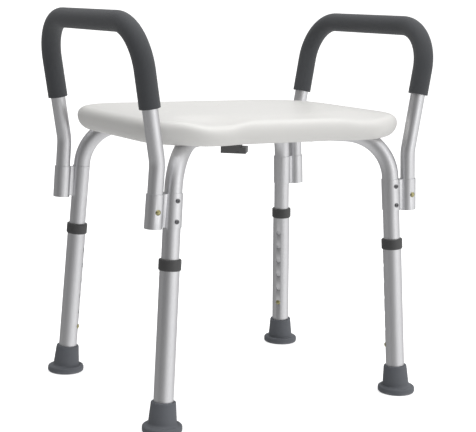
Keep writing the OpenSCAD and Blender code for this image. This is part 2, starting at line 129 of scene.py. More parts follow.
class StoolFinishes(bpy.types.PropertyGroup):
    """Colours of the stool's finishes."""

    seat: colour("Seat", "Moulded plastic of the seat", (0.80, 0.795, 0.775))
    aluminium: colour("Aluminium", "Satin tubes", (0.73, 0.73, 0.745))
    foam: colour("Foam", "Closed-cell foam of the grips", (0.052, 0.055, 0.060))
    rubber: colour("Rubber", "Rubber of the feet", (0.130, 0.138, 0.154))
    collar: colour("Collar", "Dark plastic of the collars and clamp", (0.066, 0.066, 0.067))
    brass: colour("Brass", "Snap buttons", (0.50, 0.46, 0.24))
    steel: colour("Steel", "Springs, washers and bolts", (0.62, 0.62, 0.63))
    screw: colour("Screw", "Screws of the brackets", (0.20, 0.20, 0.21))
    floor: colour("Floor", "Pale floor", (0.9, 0.9, 0.9))


# ---- placing ----


def turn(axis, angle):
    """A turn about one axis."""
    return Matrix.Rotation(angle, 4, axis)


def shift(x, y, z):
    """A move."""
    return Matrix.Translation((x, y, z))


def flip(name):
    """Mirrors the rear right corner, or the right arm, onto the named one."""
    return Matrix.Diagonal((-1 if "left" in name else 1, -1 if "front" in name else 1, 1, 1))


class Layout:
    """Where the frame, legs and arms stand, worked out from the sizes. Lengths are in metres."""

    def __init__(self, sizes):
        half_x, half_y = sizes.stance_width / 2, sizes.stance_depth / 2
        self.foot_reach = math.hypot(half_x, half_y)
        self.frame_turn = math.atan2(half_y, half_x)
        self.splay = sizes.leg_splay
        self.frame_z = sizes.frame_height
        self.slope = Vector((math.cos(self.frame_turn), math.sin(self.frame_turn))) * math.tan(self.splay)
        self.leg = turn("Z", self.frame_turn) @ shift(self.foot_reach, 0, 0) @ turn("Y", -self.splay)
        self.frame_corner = self.foot_reach - self.frame_z * math.tan(self.splay)
        self.bracket_mid = sizes.bracket_top - sizes.bracket_height / 2
        self.half_x, self.half_y = half_x, half_y
        self.post_tilt = math.atan(self.slope.x)
        post = self.leg_at(self.bracket_mid) + SADDLE_TO_SOCKET
        self.post_y = post.y
        self.post = Matrix.Translation(post) @ turn("Y", -self.post_tilt)
        self.post_bend = (sizes.bracket_height / 2 + 42.3 * MM) / math.cos(self.post_tilt)
        self.arm_lean = math.radians(9.5)
        self.arm_rise = 192.4 * MM
        self.loop = (
            shift(post.x, 0, self.bracket_mid)
            @ turn("Y", -self.post_tilt)
            @ shift(0, 0, self.post_bend)
            @ turn("Y", self.post_tilt + self.arm_lean)
        )

    def leg_at(self, z):
        """The point at height z on the rear right leg's axis."""
        return Vector((self.half_x - self.slope.x * z, self.half_y - self.slope.y * z, z))

    def leg_snap(self, z):
        """At a snap button in a leg: +Z points inwards, out of the leg."""
        return self.leg @ shift(0, 0, z / math.cos(self.splay)) @ turn("Y", math.radians(-90))

    def arm_snap(self):
        """At a snap button in an arm's socket: +Z points outwards, along Y."""
        return self.post @ turn("X", math.radians(-90))

    def frame_path(self, up, down_to):
        """Corner points of one frame tube; up turns the path to the left or right diagonal."""
        low = self.leg @ Vector((0, 0, down_to))
        high = self.leg_at(self.frame_z)
        points = [low, high, Vector((-high.x, -high.y, high.z)), Vector((-low.x, -low.y, low.z))]
        return [Vector((p.x, p.y if up else -p.y, p.z)) for p in points]

    def arm_path(self, bottom):
        """Corner points of the right arm's tube, front to rear."""
        rear = [
            self.post @ Vector((0, 0, bottom)),
            self.loop @ Vector((0, self.post_y, 0)),
            self.loop @ Vector((0, self.post_y, self.arm_rise)),
        ]
        front = [Vector((p.x, -p.y, p.z)) for p in rear]
        return [*front, *reversed(rear)]

    def pad_path(self, bare_front, bare_rear):
        """Corner points of the right arm's grip, front to rear."""
        front = [Vector((0, -self.post_y, bare_front)), Vector((0, -self.post_y, self.arm_rise))]
        rear = [Vector((0, self.post_y, self.arm_rise)), Vector((0, self.post_y, bare_rear))]
        return [self.loop @ p for p in [*front, *rear]]


# ---- modelling by hand, with Blender's own tools ----


def deselect():
    """Leaves edit mode and selects nothing."""
    if bpy.context.object and bpy.context.object.mode != "OBJECT":
        bpy.ops.object.mode_set(mode="OBJECT")
    bpy.ops.object.select_all(action="DESELECT")


def activate(obj):
    """Makes obj the one selected and active object."""
    deselect()
    bpy.context.view_layer.objects.active = obj
    obj.select_set(True)


def begin(name):
    """Names the new primitive, applies its place and opens it for editing with all of it selected."""
    obj = bpy.context.object
    obj.name = obj.data.name = name
    bpy.ops.object.transform_apply(location=True, rotation=True, scale=True)
    bpy.ops.object.mode_set(mode="EDIT")
    bpy.ops.mesh.select_all(action="SELECT")
    return obj


def end(smooth=30.0):
    """Closes edit mode and shades the piece smooth up to an angle in degrees."""
    obj = bpy.context.object
    bpy.ops.mesh.select_all(action="SELECT")
    bpy.ops.mesh.remove_doubles(threshold=1e-6)
    bpy.ops.mesh.normals_make_consistent(inside=False)
    bpy.ops.object.mode_set(mode="OBJECT")
    bpy.ops.object.shade_smooth_by_angle(angle=math.radians(smooth))
    return obj


def pick(kind, test):
    """In edit mode, selects the verts, edges or faces whose middle and self pass a test."""
    bpy.ops.mesh.select_mode(type=kind)
    bpy.ops.mesh.select_all(action="DESELECT")
    mesh = bmesh.from_edit_mesh(bpy.context.object.data)
    for part in {"VERT": mesh.verts, "EDGE": mesh.edges, "FACE": mesh.faces}[kind]:
        corners = [part.co] if kind == "VERT" else [v.co for v in part.verts]
        if test(sum(corners, Vector()) / len(corners), part):
            part.select_set(True)
    mesh.select_flush_mode()
    bmesh.update_edit_mesh(bpy.context.object.data)


def placed(obj, matrix):
    """Moves a finished piece's mesh, and turns its faces out again where the move mirrors it."""
    obj.data.transform(matrix)
    if matrix.determinant() < 0:
        obj.data.flip_normals()
    return obj


def copied(obj, name, matrix):
    """A copy of a piece with its own mesh, moved."""
    twin = obj.copy()
    twin.data = obj.data.copy()
    twin.name = twin.data.name = name
    bpy.context.collection.objects.link(twin)
    return placed(twin, matrix)


def discard(obj):
    """Removes a piece that was only a pattern or a cutter."""
    bpy.data.meshes.remove(obj.data)


def joined(objs, name):
    """Several pieces as one object."""
    activate(objs[0])
    for o in objs:
        o.select_set(True)
    bpy.ops.object.join()
    objs[0].name = objs[0].data.name = name
    return objs[0]


def finish_with(obj, kind, **settings):
    """Adds a modifier and applies it."""
    activate(obj)
    modifier = obj.modifiers.new(kind.title(), kind)
    for key, value in settings.items():
        setattr(modifier, key, value)
    bpy.ops.object.modifier_apply(modifier=modifier.name)
    return obj


def combine(obj, other, operation="DIFFERENCE"):
    """Cuts other out of obj, or adds it, and removes other."""
    finish_with(obj, "BOOLEAN", object=other, operation=operation, solver="EXACT")
    discard(other)
    return obj


def eased(obj, width, segments=2, angle=40.0):
    """Rounds the sharp edges of a piece and shades it."""
    finish_with(
        obj, "BEVEL", width=width, segments=segments, limit_method="ANGLE",
        angle_limit=math.radians(angle), use_clamp_overlap=True, harden_normals=False,
    )
    activate(obj)
    bpy.ops.object.shade_smooth_by_angle(angle=math.radians(30))
    return obj


def swept(name, radius, points, bends, sides=48, steps=18, pitch=1.0):
    """A round bar drawn along corner points, with a bend of its own radius at each inner corner.
    Straight lengths are drawn in pieces no longer than pitch."""

    def straight(way):
        """Draws the open end on along a way."""
        count = max(1, math.ceil(way.length / pitch))
        for _ in range(count):
            bpy.ops.mesh.extrude_region_move(TRANSFORM_OT_translate={"value": way / count})

    heading = (points[1] - points[0]).normalized()
    deselect()
    bpy.ops.mesh.primitive_circle_add(
        vertices=sides, radius=radius, fill_type="NOTHING", location=points[0],
        rotation=heading.to_track_quat("Z", "Y").to_euler(),
    )
    begin(name)
    at = points[0]
    for corner, after, bend in zip(points[1:-1], points[2:], bends):
        leaving = (after - corner).normalized()
        angle = heading.angle(leaving)
        axis = heading.cross(leaving).normalized()
        tangent = corner - heading * bend * math.tan(angle / 2)
        straight(tangent - at)
        centre = tangent + axis.cross(heading) * bend
        bpy.ops.mesh.spin(
            steps=max(2, round(steps * angle / (math.pi / 2))), angle=-angle, center=centre, axis=axis
        )
        at = corner + leaving * bend * math.tan(angle / 2)
        heading = leaving
    straight(points[-1] - at)
    bpy.ops.mesh.select_all(action="SELECT")
    bpy.ops.mesh.remove_doubles(threshold=1e-6)
    bpy.ops.mesh.fill_holes(sides=0)
    return end()


def turned(name, profile, sides=48, smooth=30.0):
    """A turned piece about Z, drawn out ring by ring through its (radius, height) profile.
    A profile that ends where it starts makes a ring, and any other is closed at both ends."""
    deselect()
    radius, height = profile[0]
    ring = profile[0] == profile[-1]
    fill = "NOTHING" if ring else "NGON"
    bpy.ops.mesh.primitive_circle_add(vertices=sides, radius=radius, fill_type=fill, location=(0, 0, height))
    begin(name)
    pick("EDGE", lambda middle, edge: True)
    for wide, high in profile[1:]:
        bpy.ops.mesh.extrude_edges_move()
        bpy.ops.transform.resize(value=(wide / radius, wide / radius, 1), center_override=(0, 0, height))
        bpy.ops.transform.translate(value=(0, 0, high - height))
        radius, height = wide, high
    if not ring:
        bpy.ops.mesh.edge_face_add()
    return end(smooth)


def arc(centre_r, centre_z, radius, start, stop, count=6):
    """Points of a profile's round edge, by angle from outwards in degrees."""
    angles = [math.radians(start + (stop - start) * i / count) for i in range(count + 1)]
    return [(centre_r + radius * math.cos(a), centre_z + radius * math.sin(a)) for a in angles]


def rod(name, radius, low, high, sides=48):
    """A plain round bar along Z, for cutting."""
    return turned(name, [(radius, low), (radius, high)], sides)


def block(name, low, high):
    """A plain block between two corners, for cutting or easing."""
    low, high = Vector(low), Vector(high)
    deselect()
    bpy.ops.mesh.primitive_cube_add(size=1, location=(low + high) / 2)
    bpy.context.object.scale = high - low
    begin(name)
    return end()


# ---- finishes ----


class Value:
    """A shader socket. Sums and products of it become Math nodes."""

    def __init__(self, recipe, socket):
        self.recipe, self.socket = recipe, socket

    def maths(self, operation, first, second=0.0):
        """One Math node's result."""
        return self.recipe.node("ShaderNodeMath", {"operation": operation}, {0: first, 1: second})

    def __add__(self, other):
        return self.maths("ADD", self, other)

    def __sub__(self, other):
        return self.maths("SUBTRACT", self, other)

    def __rsub__(self, other):
        return self.maths("SUBTRACT", other, self)

    def __mul__(self, other):
        return self.maths("MULTIPLY", self, other)

    __radd__ = __add__
    __rmul__ = __mul__

    def between(self, low, high):
        """0 below low, 1 above high, and smooth between them."""
        settings = {"interpolation_type": "SMOOTHSTEP"}
        sockets = {"Value": self, "From Min": low, "From Max": high}
        return self.recipe.node("ShaderNodeMapRange", settings, sockets)


class Recipe:
    """The nodes of one material, or of the world."""

    def __init__(self, holder):
        holder.use_nodes = True
        self.holder, self.tree = holder, holder.node_tree
        self.tree.nodes.clear()

    def node(self, kind, settings=None, sockets=None, output=0):
        """Adds a node: its settings first, then the values or links of its sockets."""
        made = self.tree.nodes.new(kind)
        for key, value in (settings or {}).items():
            setattr(made, key, value)
        for key, value in (sockets or {}).items():
            if isinstance(value, Value):
                self.tree.links.new(value.socket, made.inputs[key])
            else:
                made.inputs[key].default_value = value
        return Value(self, made.outputs[output]) if made.outputs else made

    def place(self, stretch=(1, 1, 1)):
        """Object coordinates, stretched."""
        spot = self.node("ShaderNodeTexCoord", output=3)
        return self.node("ShaderNodeMapping", None, {"Vector": spot, "Scale": stretch})

    def noise(self, scale, detail=3.0, stretch=(1, 1, 1)):
        """Noise from 0 to 1, of a scale per metre."""
        sockets = {"Vector": self.place(stretch), "Scale": scale, "Detail": detail}
        return self.node("ShaderNodeTexNoise", None, sockets)

    def cells(self, scale):
        """Distance to the middle of small cells, of a scale per metre."""
        return self.node("ShaderNodeTexVoronoi", None, {"Vector": self.place(), "Scale": scale})

    def edges(self):
        """How sharply the surface turns outwards, from 0 to 1."""
        return self.node("ShaderNodeNewGeometry", output=7).between(0.52, 0.62)

    def height(self):
        """Height above the floor."""
        spot = self.node("ShaderNodeTexCoord", output=3)
        return self.node("ShaderNodeSeparateXYZ", None, {0: spot}, output=2)

    def mixed(self, share, first, second):
        """A colour between two."""
        return self.node("ShaderNodeMix", {"data_type": "RGBA"}, {0: share, 6: first, 7: second}, output=2)

    def relief(self, height, distance, under=None):
        """A normal raised by a height, over another relief if there is one."""
        sockets = {"Height": height, "Distance": distance, "Strength": 1.0}
        if under:
            sockets["Normal"] = under
        return self.node("ShaderNodeBump", None, sockets)

    def surface(self, **sockets):
        """Ends a material with one Principled shader."""
        names = {key.replace("_", " ").title().replace("Ior", "IOR"): value for key, value in sockets.items()}
        shader = self.node("ShaderNodeBsdfPrincipled", None, names)
        self.node("ShaderNodeOutputMaterial", None, {0: shader})
        return self.holder


def shade(base, factor, warm=0.0):
    """A darker or lighter tone of a colour, for a socket."""
    red, green, blue = base
    return (red * factor * (1 + warm), green * factor, blue * factor * (1 - warm), 1)


def new_recipe(name):
    """The recipe of a new material."""
    return Recipe(bpy.data.materials.new(name))


def seat_plastic(colours):
    """Blow-moulded plastic: soft gloss, a fine pebble and the faint waves of a hollow wall."""
    r = new_recipe("seat_plastic")
    cloud, pebble = r.noise(9, 2), r.noise(1500, 2)
    return r.surface(
        base_color=r.mixed(cloud, shade(colours.seat, 0.975, 0.006), shade(colours.seat, 1.02)),
        roughness=0.33 + 0.06 * r.noise(60) + 0.05 * pebble,
        normal=r.relief(pebble, 0.00004, r.relief(r.noise(16, 1), 0.0012)),
        specular_ior_level=0.5,
    )


def drawn_aluminium(name, base, roughness, streak_depth=0.000008):
    """Satin aluminium with the fine lengthwise lines of a drawn tube."""
    r = new_recipe(name)
    streak, cloud = r.noise(1, 4, (2400, 2400, 24)), r.noise(22, 3)
    return r.surface(
        base_color=r.mixed(streak.between(0.35, 0.75), shade(base, 1.0), shade(base, 0.9)),
        metallic=1.0,
        roughness=roughness + 0.07 * streak + 0.05 * cloud,
        normal=r.relief(streak, streak_depth),
    )


def grip_foam(colours):
    """Closed-cell foam: a matt skin of small cells, a little lighter in soft random clouds."""
    r = new_recipe("foam_grip")
    cells, cloud = r.cells(1500), r.noise(35, 4)
    tone = r.mixed(cloud, shade(colours.foam, 0.88), shade(colours.foam, 1.2))
    return r.surface(
        base_color=r.mixed(0.35 * (1 - cells), tone, shade(colours.foam, 1.7)),
        roughness=0.66 + 0.16 * cloud,
        normal=r.relief(cells, 0.00016, r.relief(r.noise(260, 3), 0.0002)),
        specular_ior_level=0.45,
        sheen_weight=0.12,
        sheen_roughness=0.5,
    )


def foot_rubber(colours):
    """Grey rubber, dusty where it meets the floor."""
    r = new_recipe("grey_rubber")
    cloud, grain = r.noise(45, 4), r.noise(1400, 2)
    dust = (1 - r.height().between(0.0005, 0.006)) * r.noise(150, 4).between(0.4, 0.7)
    tone = r.mixed(cloud, shade(colours.rubber, 0.88), shade(colours.rubber, 1.12))
    return r.surface(
        base_color=r.mixed(0.5 * dust, tone, shade(colours.rubber, 2.2, 0.05)),
        roughness=0.52 + 0.2 * cloud,
        normal=r.relief(grain, 0.00005),
        specular_ior_level=0.4,
    )


def collar_plastic(colours):
    """Dark moulded plastic with a fine grain, and a paler colour painted along its sharp edges."""
    r = new_recipe("black_plastic")
    grain, cloud = r.noise(1800, 2), r.noise(50, 3)
    tone = r.mixed(cloud, shade(colours.collar, 0.9), shade(colours.collar, 1.15))
    return r.surface(
        # paler colour where the surface turns sharply outwards
        base_color=r.mixed(0.5 * r.edges(), tone, shade(colours.collar, 2.4)),
        roughness=0.4 + 0.12 * cloud,
        normal=r.relief(grain, 0.00005),
    )


def worn_metal(name, base, roughness, tarnish=0.5):
    """A small plated part, darker in its clouds and brighter at its edges."""
    r = new_recipe(name)
    cloud = r.noise(420, 4)
    tone = r.mixed(cloud.between(0.35, 0.75), shade(base, 1.0), shade(base, tarnish))
    return r.surface(
        base_color=r.mixed(0.6 * r.edges(), tone, shade(base, 1.25)),
        metallic=1.0,
        roughness=roughness + 0.18 * cloud,
        normal=r.relief(r.noise(1600, 2), 0.00001),
    )


MAKERS = {
    "seat_plastic": seat_plastic,
    "aluminium_tube": lambda c: drawn_aluminium("aluminium_tube", c.aluminium, 0.36),
    "bracket_aluminium": lambda c: drawn_aluminium("bracket_aluminium", c.aluminium, 0.33),
    "foam_grip": grip_foam,
    "grey_rubber": foot_rubber,
    "black_plastic": collar_plastic,
    "brass_button": lambda c: worn_metal("brass_button", c.brass, 0.22),
    "zinc_steel": lambda c: worn_metal("zinc_steel", c.steel, 0.28, 0.75),
    "dark_screw": lambda c: worn_metal("dark_screw", c.screw, 0.3, 0.7),
}


def finish_of(slot):
    """The material of one of the record's slots, made when first asked for."""
    made = bpy.data.materials.get(slot)
    if made is None or not made.get("stool_finish"):
        if made is not None:
            made.name = slot + "_cad"
        made = MAKERS[slot](bpy.context.scene.stool_finishes)
        made.name = slot
        made["stool_finish"] = True
    return made


def settle(obj, body, nodes, slot):
    """Gives a piece its finish, the body it rides on and the CAD nodes it stands for."""
    obj.data.materials.clear()
    obj.data.materials.append(finish_of(slot))
    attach(obj, body)
    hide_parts(*nodes)
    return obj


# ---- pieces ----


def seat_slab(sizes):
    """The seat's outside: a slab with round corners and edges, ringed from its rim to its middle."""
    middle_y = (seat_low.y + seat_high.y) / 2
    top_edge = sizes.seat_top_edge
    low_edge = seat_high.z - seat_low.z - top_edge
    deselect()
    bpy.ops.mesh.primitive_plane_add(size=1, location=(0, middle_y, seat_low.z))
    bpy.context.object.scale = (sizes.seat_width, sizes.seat_depth, 1)
    seat = begin("moulded_seat")
    bpy.ops.mesh.bevel(offset=sizes.seat_corner, segments=18, affect="VERTICES")
    pick("EDGE", lambda middle, edge: edge.calc_length() > sizes.seat_corner)
    bpy.ops.mesh.subdivide(number_cuts=26)
    bpy.ops.mesh.select_all(action="SELECT")
    bpy.ops.mesh.extrude_region_move(TRANSFORM_OT_translate={"value": (0, 0, seat_high.z - seat_low.z)})
    for level, radius, segments in ((seat_high.z, top_edge, 10), (seat_low.z, low_edge, 12)):
        pick("EDGE", lambda middle, edge: all(abs(v.co.z - level) < 0.01 * MM for v in edge.verts))
        bpy.ops.mesh.bevel(offset=radius, segments=segments, affect="EDGES", clamp_overlap=False)
        bpy.ops.mesh.select_all(action="SELECT")
        bpy.ops.mesh.remove_doubles(threshold=0.02 * MM)
    pick("FACE", lambda middle, face: len(face.verts) > 8 and middle.z > seat_high.z - MM)
    bpy.ops.mesh.delete(type="ONLY_FACE")
    pick("EDGE", lambda middle, edge: edge.is_boundary)
    bpy.ops.transform.translate(
        value=(0, 0, -sizes.seat_crown), use_proportional_edit=True,
        proportional_edit_falloff="SMOOTH", proportional_size=24 * MM,
    )
    rings, share, risen = 24, 1.0, 0.0
    for ring in range(1, rings):
        wanted = 1 - ring / rings
        along = min(1.0, (1 - wanted) / 0.3)
        rise = sizes.seat_crown * along * along * (3 - 2 * along)
        bpy.ops.mesh.extrude_edges_move()
        bpy.ops.transform.resize(value=(wanted / share, wanted / share, 1), center_override=(0, middle_y, 0))
        bpy.ops.transform.translate(value=(0, 0, rise - risen))
        share, risen = wanted, rise
    bpy.ops.mesh.merge(type="CENTER")
    return seat


def press(low, high, depth, reach):
    """Pushes the seat's top down around a box of its vertices, with a soft edge."""
    pick("VERT", lambda middle, vert: all(a <= b <= c for a, b, c in zip(low, vert.co, high)))
    bpy.ops.transform.translate(
        value=(0, 0, -depth), use_proportional_edit=True,
        proportional_edit_falloff="SMOOTH", proportional_size=reach,
    )


def seat_cutters(sizes, layout):
    """What the seat's underside makes room for: both tubes, the clamp's cap and the drains."""
    middle_y = (seat_low.y + seat_high.y) / 2
    room = sizes.frame_tube / 2 + 0.4 * MM
    for up in (True, False):
        path = layout.frame_path(up, UPPER_TUBE_END)
        yield swept("channel", room, path, [sizes.frame_bend] * 2, 40)
        half = layout.frame_corner - 52 * MM
        trench = block("trench", (-half, -room, seat_low.z - MM), (half, room, layout.frame_z))
        yield placed(trench, turn("Z", layout.frame_turn if up else -layout.frame_turn))
    for side in (-1, 1):
        mouth = block("mouth", (205 * MM, -room, seat_low.z - MM), (260 * MM, room, seat_low.z + 12 * MM))
        aim = layout.frame_turn if side > 0 else math.pi - layout.frame_turn
        yield placed(mouth, turn("Z", aim))
    cap = 17.4 * MM
    yield block("cap_room", (-cap, -cap, seat_low.z - MM), (cap, cap, seat_low.z + 24.7 * MM))
    hole = turned(
        "drain",
        [(2.5 * MM, seat_low.z - MM), (2.5 * MM, seat_high.z - 1.6 * MM), (3.1 * MM, seat_high.z - 0.5 * MM),
         (4.4 * MM, seat_high.z + 0.3 * MM)],
        20,
    )
    spots = [(0, 60 * MM), (0, -60 * MM)]
    for x in (-0.5, 0.5):
        for y in (-0.5, 0.5):
            spots += [(0.31 * x * sizes.seat_width, 0.61 * y * sizes.seat_depth),
                      (0.62 * x * sizes.seat_width, 0.2 * y * sizes.seat_depth)]
    drains = [copied(hole, "drain", shift(x, y + middle_y, 0)) for x, y in spots]
    discard(hole)
    yield joined(drains, "drains")


class STOOL_OT_seat(bpy.types.Operator):
    """Models the moulded seat, with its dips, drains and underside channels"""

    bl_idname = "stool.seat"
    bl_label = "Seat"

    def execute(self, context):
        sizes = context.scene.stool_sizes
        seat = seat_slab(sizes)
        rim = seat_low.y + sizes.seat_top_edge
        for x, share in ((-DIP_X, 1.0), (DIP_X, 0.6)):
            press((x - 12 * MM, rim - 8 * MM, seat_high.z - 6 * MM), (x + 12 * MM, rim + 30 * MM, 1),
                  share * sizes.seat_dip, 48 * MM)
        end()
        for cutter in seat_cutters(sizes, Layout(sizes)):
            combine(seat, cutter)
        activate(seat)
        bpy.ops.object.shade_smooth_by_angle(angle=math.radians(32))
        settle(seat, "frame", ["seat"], "seat_plastic")
        return {"FINISHED"}


class STOOL_OT_frame_tubes(bpy.types.Operator):
    """Models the two bent tubes that cross under the seat, half-lapped at the crossing"""

    bl_idname = "stool.frame_tubes"
    bl_label = "Frame Tubes"

    def execute(self, context):
        sizes = context.scene.stool_sizes
        layout = Layout(sizes)
        radius, wall, gap = sizes.frame_tube / 2, TUBE_WALL, 0.1 * MM
        crossing = 2 * layout.frame_turn
        half = radius / math.sin(crossing) + radius / abs(math.tan(crossing)) + 0.9 * MM
        bottom = sizes.first_hole / math.cos(layout.splay) - 17 * MM
        for side in SIDES:
            up = side == "left"
            spin = turn("Z", layout.frame_turn if up else -layout.frame_turn)

            def lap(grow):
                """The half that is pressed in, or that with a wall around it."""
                reach, low, high = half + grow, layout.frame_z - 20 * MM, layout.frame_z + gap + grow
                if not up:
                    low, high = layout.frame_z - gap - grow, layout.frame_z + 20 * MM
                return placed(block("lap", (-reach, -20 * MM, low), (reach, 20 * MM, high)), spin)

            path = layout.frame_path(up, bottom)
            tube = swept("frame_bar_" + side, radius, path, [sizes.frame_bend] * 2)
            combine(tube, lap(0))
            path = layout.frame_path(up, bottom - MM)
            bore = swept("bore", radius - wall, path, [sizes.frame_bend] * 2)
            combine(tube, combine(bore, lap(wall)))
            for corner in ("front_left", "rear_right") if up else ("front_right", "rear_left"):
                hole = rod("hole", sizes.button / 2 + HOLE_ROOM, 0, 20 * MM, 32)
                combine(tube, placed(hole, flip(corner) @ layout.leg_snap(sizes.first_hole)))
            settle(eased(tube, 0.25 * MM), "frame", ["frame_tube_" + side], "aluminium_tube")
        return {"FINISHED"}


class STOOL_OT_clamp(bpy.types.Operator):
    """Models the dark clamp that holds the crossing, its bolt and the seat's four screws"""

    bl_idname = "stool.clamp"
    bl_label = "Clamp"

    def execute(self, context):
        sizes = context.scene.stool_sizes
        layout = Layout(sizes)
        z, radius = layout.frame_z, sizes.frame_tube / 2
        low = z - CLAMP_DROP
        long, wide, thick = CLAMP_PLATE
        end_x, side_y = long / 2, wide / 2
        base = combine(
            block("clamp_base", (-end_x, -side_y, low), (end_x, side_y, low + thick)),
            block("clamp_block", (-end_x, -side_y, low), (CLAMP_BLOCK - end_x, side_y, z - radius / 2)),
            "UNION",
        )
        placed(base, turn("Z", -layout.frame_turn))
        wide, thick = CLAMP_CAP
        top = z + radius + thick
        cap = block("clamp_top", (-wide / 2, -wide / 2, z + radius / 2), (wide / 2, wide / 2, top))
        for piece in (base, cap):
            for up in (True, False):
                path = layout.frame_path(up, UPPER_TUBE_END)
                combine(piece, swept("bar", radius + SNUG, path, [sizes.frame_bend] * 2))
        around_bolt, around_head = BOLT + HOLE_ROOM, BOLT_HEAD + HOLE_ROOM
        combine(base, rod("bolt_hole", around_bolt, low - MM, z, 32))
        combine(base, rod("head_room", around_head, low - MM, low + BOLT_HEAD_HEIGHT + 0.1 * MM, 32))
        combine(cap, rod("bolt_hole", around_bolt, z, top + MM, 32))
        combine(cap, rod("nut_room", around_head, z + radius + 2 * MM, top + MM, 6))
        settle(eased(base, 1.0 * MM, 3), "frame", ["clamp_foot"], "black_plastic")
        settle(eased(cap, 1.0 * MM, 3), "frame", ["clamp_cap"], "black_plastic")
        head = rod("clamp_bolt_head", BOLT_HEAD, low, low + BOLT_HEAD_HEIGHT, 6)
        shank = rod("shank", BOLT, low + 2 * MM, top, 32)
        settle(eased(combine(head, shank, "UNION"), 0.4 * MM), "frame", ["clamp_bolt"], "zinc_steel")
        screw = cross_head("screw", 5 * MM, 2.6 * MM, 2.4 * MM, radius * 2 + 11 * MM)
        placed(screw, shift(SCREW_X, 0, z - radius) @ turn("X", math.pi))
        at = turn("Z", layout.frame_turn)
        screws = [copied(screw, "screw", flip(corner) @ at) for corner in CORNERS]
        discard(screw)
        settle(joined(screws, "seat_screw_set"), "frame", ["seat_screws"], "zinc_steel")
        return {"FINISHED"}


def cross_head(name, radius, height, shank, depth):
    """A pan-head screw with a cross recess: the head stands on z = 0 and the shank goes down."""
    screw = turned(
        name,
        [(0.5 * shank, -depth), (shank, -depth + shank), (shank, 0), (0.97 * radius, 0),
         (radius, 0.06 * height), (radius, 0.4 * height), (0.93 * radius, 0.68 * height),
         (0.75 * radius, 0.87 * height), (0.45 * radius, 0.98 * height), (0.1 * radius, height)],
        40, 50,
    )
    arm, slot = 0.55 * radius, 0.11 * radius
    for wide, deep in ((arm, slot), (slot, arm)):
        combine(screw, block("recess", (-wide, -deep, 0.45 * height), (wide, deep, 2 * height)))
    return screw


class STOOL_OT_legs(bpy.types.Operator):
    """Models the lower legs with their holes, the collars and the rubber feet"""

    bl_idname = "stool.legs"
    bl_label = "Legs"

    def lower_tube(self, sizes, layout, low, high):
        """A lower leg around Z, with its row of holes facing inwards."""
        outer, bore = sizes.leg_tube / 2, sizes.frame_tube / 2 + 0.2 * MM
        tube = turned("tube", [(bore, low), (outer, low), (outer, high), (bore, high), (bore, low)], 64)
        first = sizes.first_hole / math.cos(layout.splay)
        pin = placed(rod("pin", sizes.button / 2 + HOLE_ROOM, 0, 18 * MM, 32), turn("Y", math.radians(-90)))
        pins = [copied(pin, "pin", shift(0, 0, first + n * sizes.hole_pitch)) for n in range(HOLES)]
        discard(pin)
        return eased(combine(tube, joined(pins, "pins")), 0.25 * MM)

    def collar(self, sizes, top):
        """A dark collar around Z that grips the lower leg and guides the frame tube."""
        inner, bore, outer = sizes.leg_tube / 2 + 0.02 * MM, sizes.frame_tube / 2 + 0.06 * MM, 16.2 * MM
        low, edge = top - 16.4 * MM, 2 * MM
        lip, chamfer = top - 3 * MM, 0.5 * MM
        profile = [(inner, low), *arc(outer - edge, low + edge, edge, -90, 0),
                   *arc(outer - edge, top - edge, edge, 0, 90), (bore + chamfer, top), (bore, top - chamfer),
                   (bore, lip), (inner, lip), (inner, low)]
        return turned("collar", profile, 64, 40)

    def foot(self, sizes, layout):
        """A rubber foot: a flat flange with tread rings, and a cone that leans with the leg."""
        wide, edge, leg = 28.75 * MM, 3.5 * MM, sizes.leg_tube / 2
        tread = [(10, 0), (10, 1.2), (13, 1.2), (13, 0), (17, 0), (17, 1.2), (20, 1.2), (20, 0)]
        profile = [(r * MM, h * MM) for r, h in tread]
        profile += [*arc(wide - edge, edge, edge, -90, 0), *arc(wide - edge, 7 * MM, edge, 0, 90)]
        cone = [(7.9, 10.7), (6.9, 11.2), (6.3, 12.4), (6.1, 14.5), (4.9, 28), (3.8, 40.5), (3.6, 42.0),
                (3.1, 43.0), (2.2, 43.5), (1.1, 43.4), (0.3, 42.9), (0.02, 42.0), (0.02, 5.5)]
        profile += [(leg + r * MM, h * MM) for r, h in cone]
        foot = turned("foot", profile, 64, 40)
        activate(foot)
        bpy.ops.object.mode_set(mode="EDIT")
        bore = leg + 0.5 * MM
        pick("VERT", lambda m, v: v.co.z > 10.9 * MM or (v.co.z > 5 * MM and v.co.xy.length < bore))
        bpy.ops.transform.rotate(value=layout.splay, orient_axis="Y", center_override=(0, 0, 0))
        bpy.ops.object.mode_set(mode="OBJECT")
        return placed(foot, turn("Z", layout.frame_turn) @ shift(layout.foot_reach, 0, 0))

    def execute(self, context):
        sizes = context.scene.stool_sizes
        layout = Layout(sizes)
        collar_top = (layout.frame_z - COLLAR_DROP) / math.cos(layout.splay)
        tube = placed(self.lower_tube(sizes, layout, 7.5 * MM, collar_top - 3 * MM), layout.leg)
        collar = placed(self.collar(sizes, collar_top), layout.leg)
        foot = self.foot(sizes, layout)
        for corner in CORNERS:
            body, at = "leg_" + corner, flip(corner)
            settle(copied(tube, "lower_tube_" + corner, at), body, ["lower_leg_" + corner], "aluminium_tube")
            settle(copied(collar, "collar_" + corner, at), body, ["leg_collar_" + corner], "black_plastic")
            settle(copied(foot, "rubber_foot_" + corner, at), body, ["foot_" + corner], "grey_rubber")
        for pattern in (tube, collar, foot):
            discard(pattern)
        return {"FINISHED"}


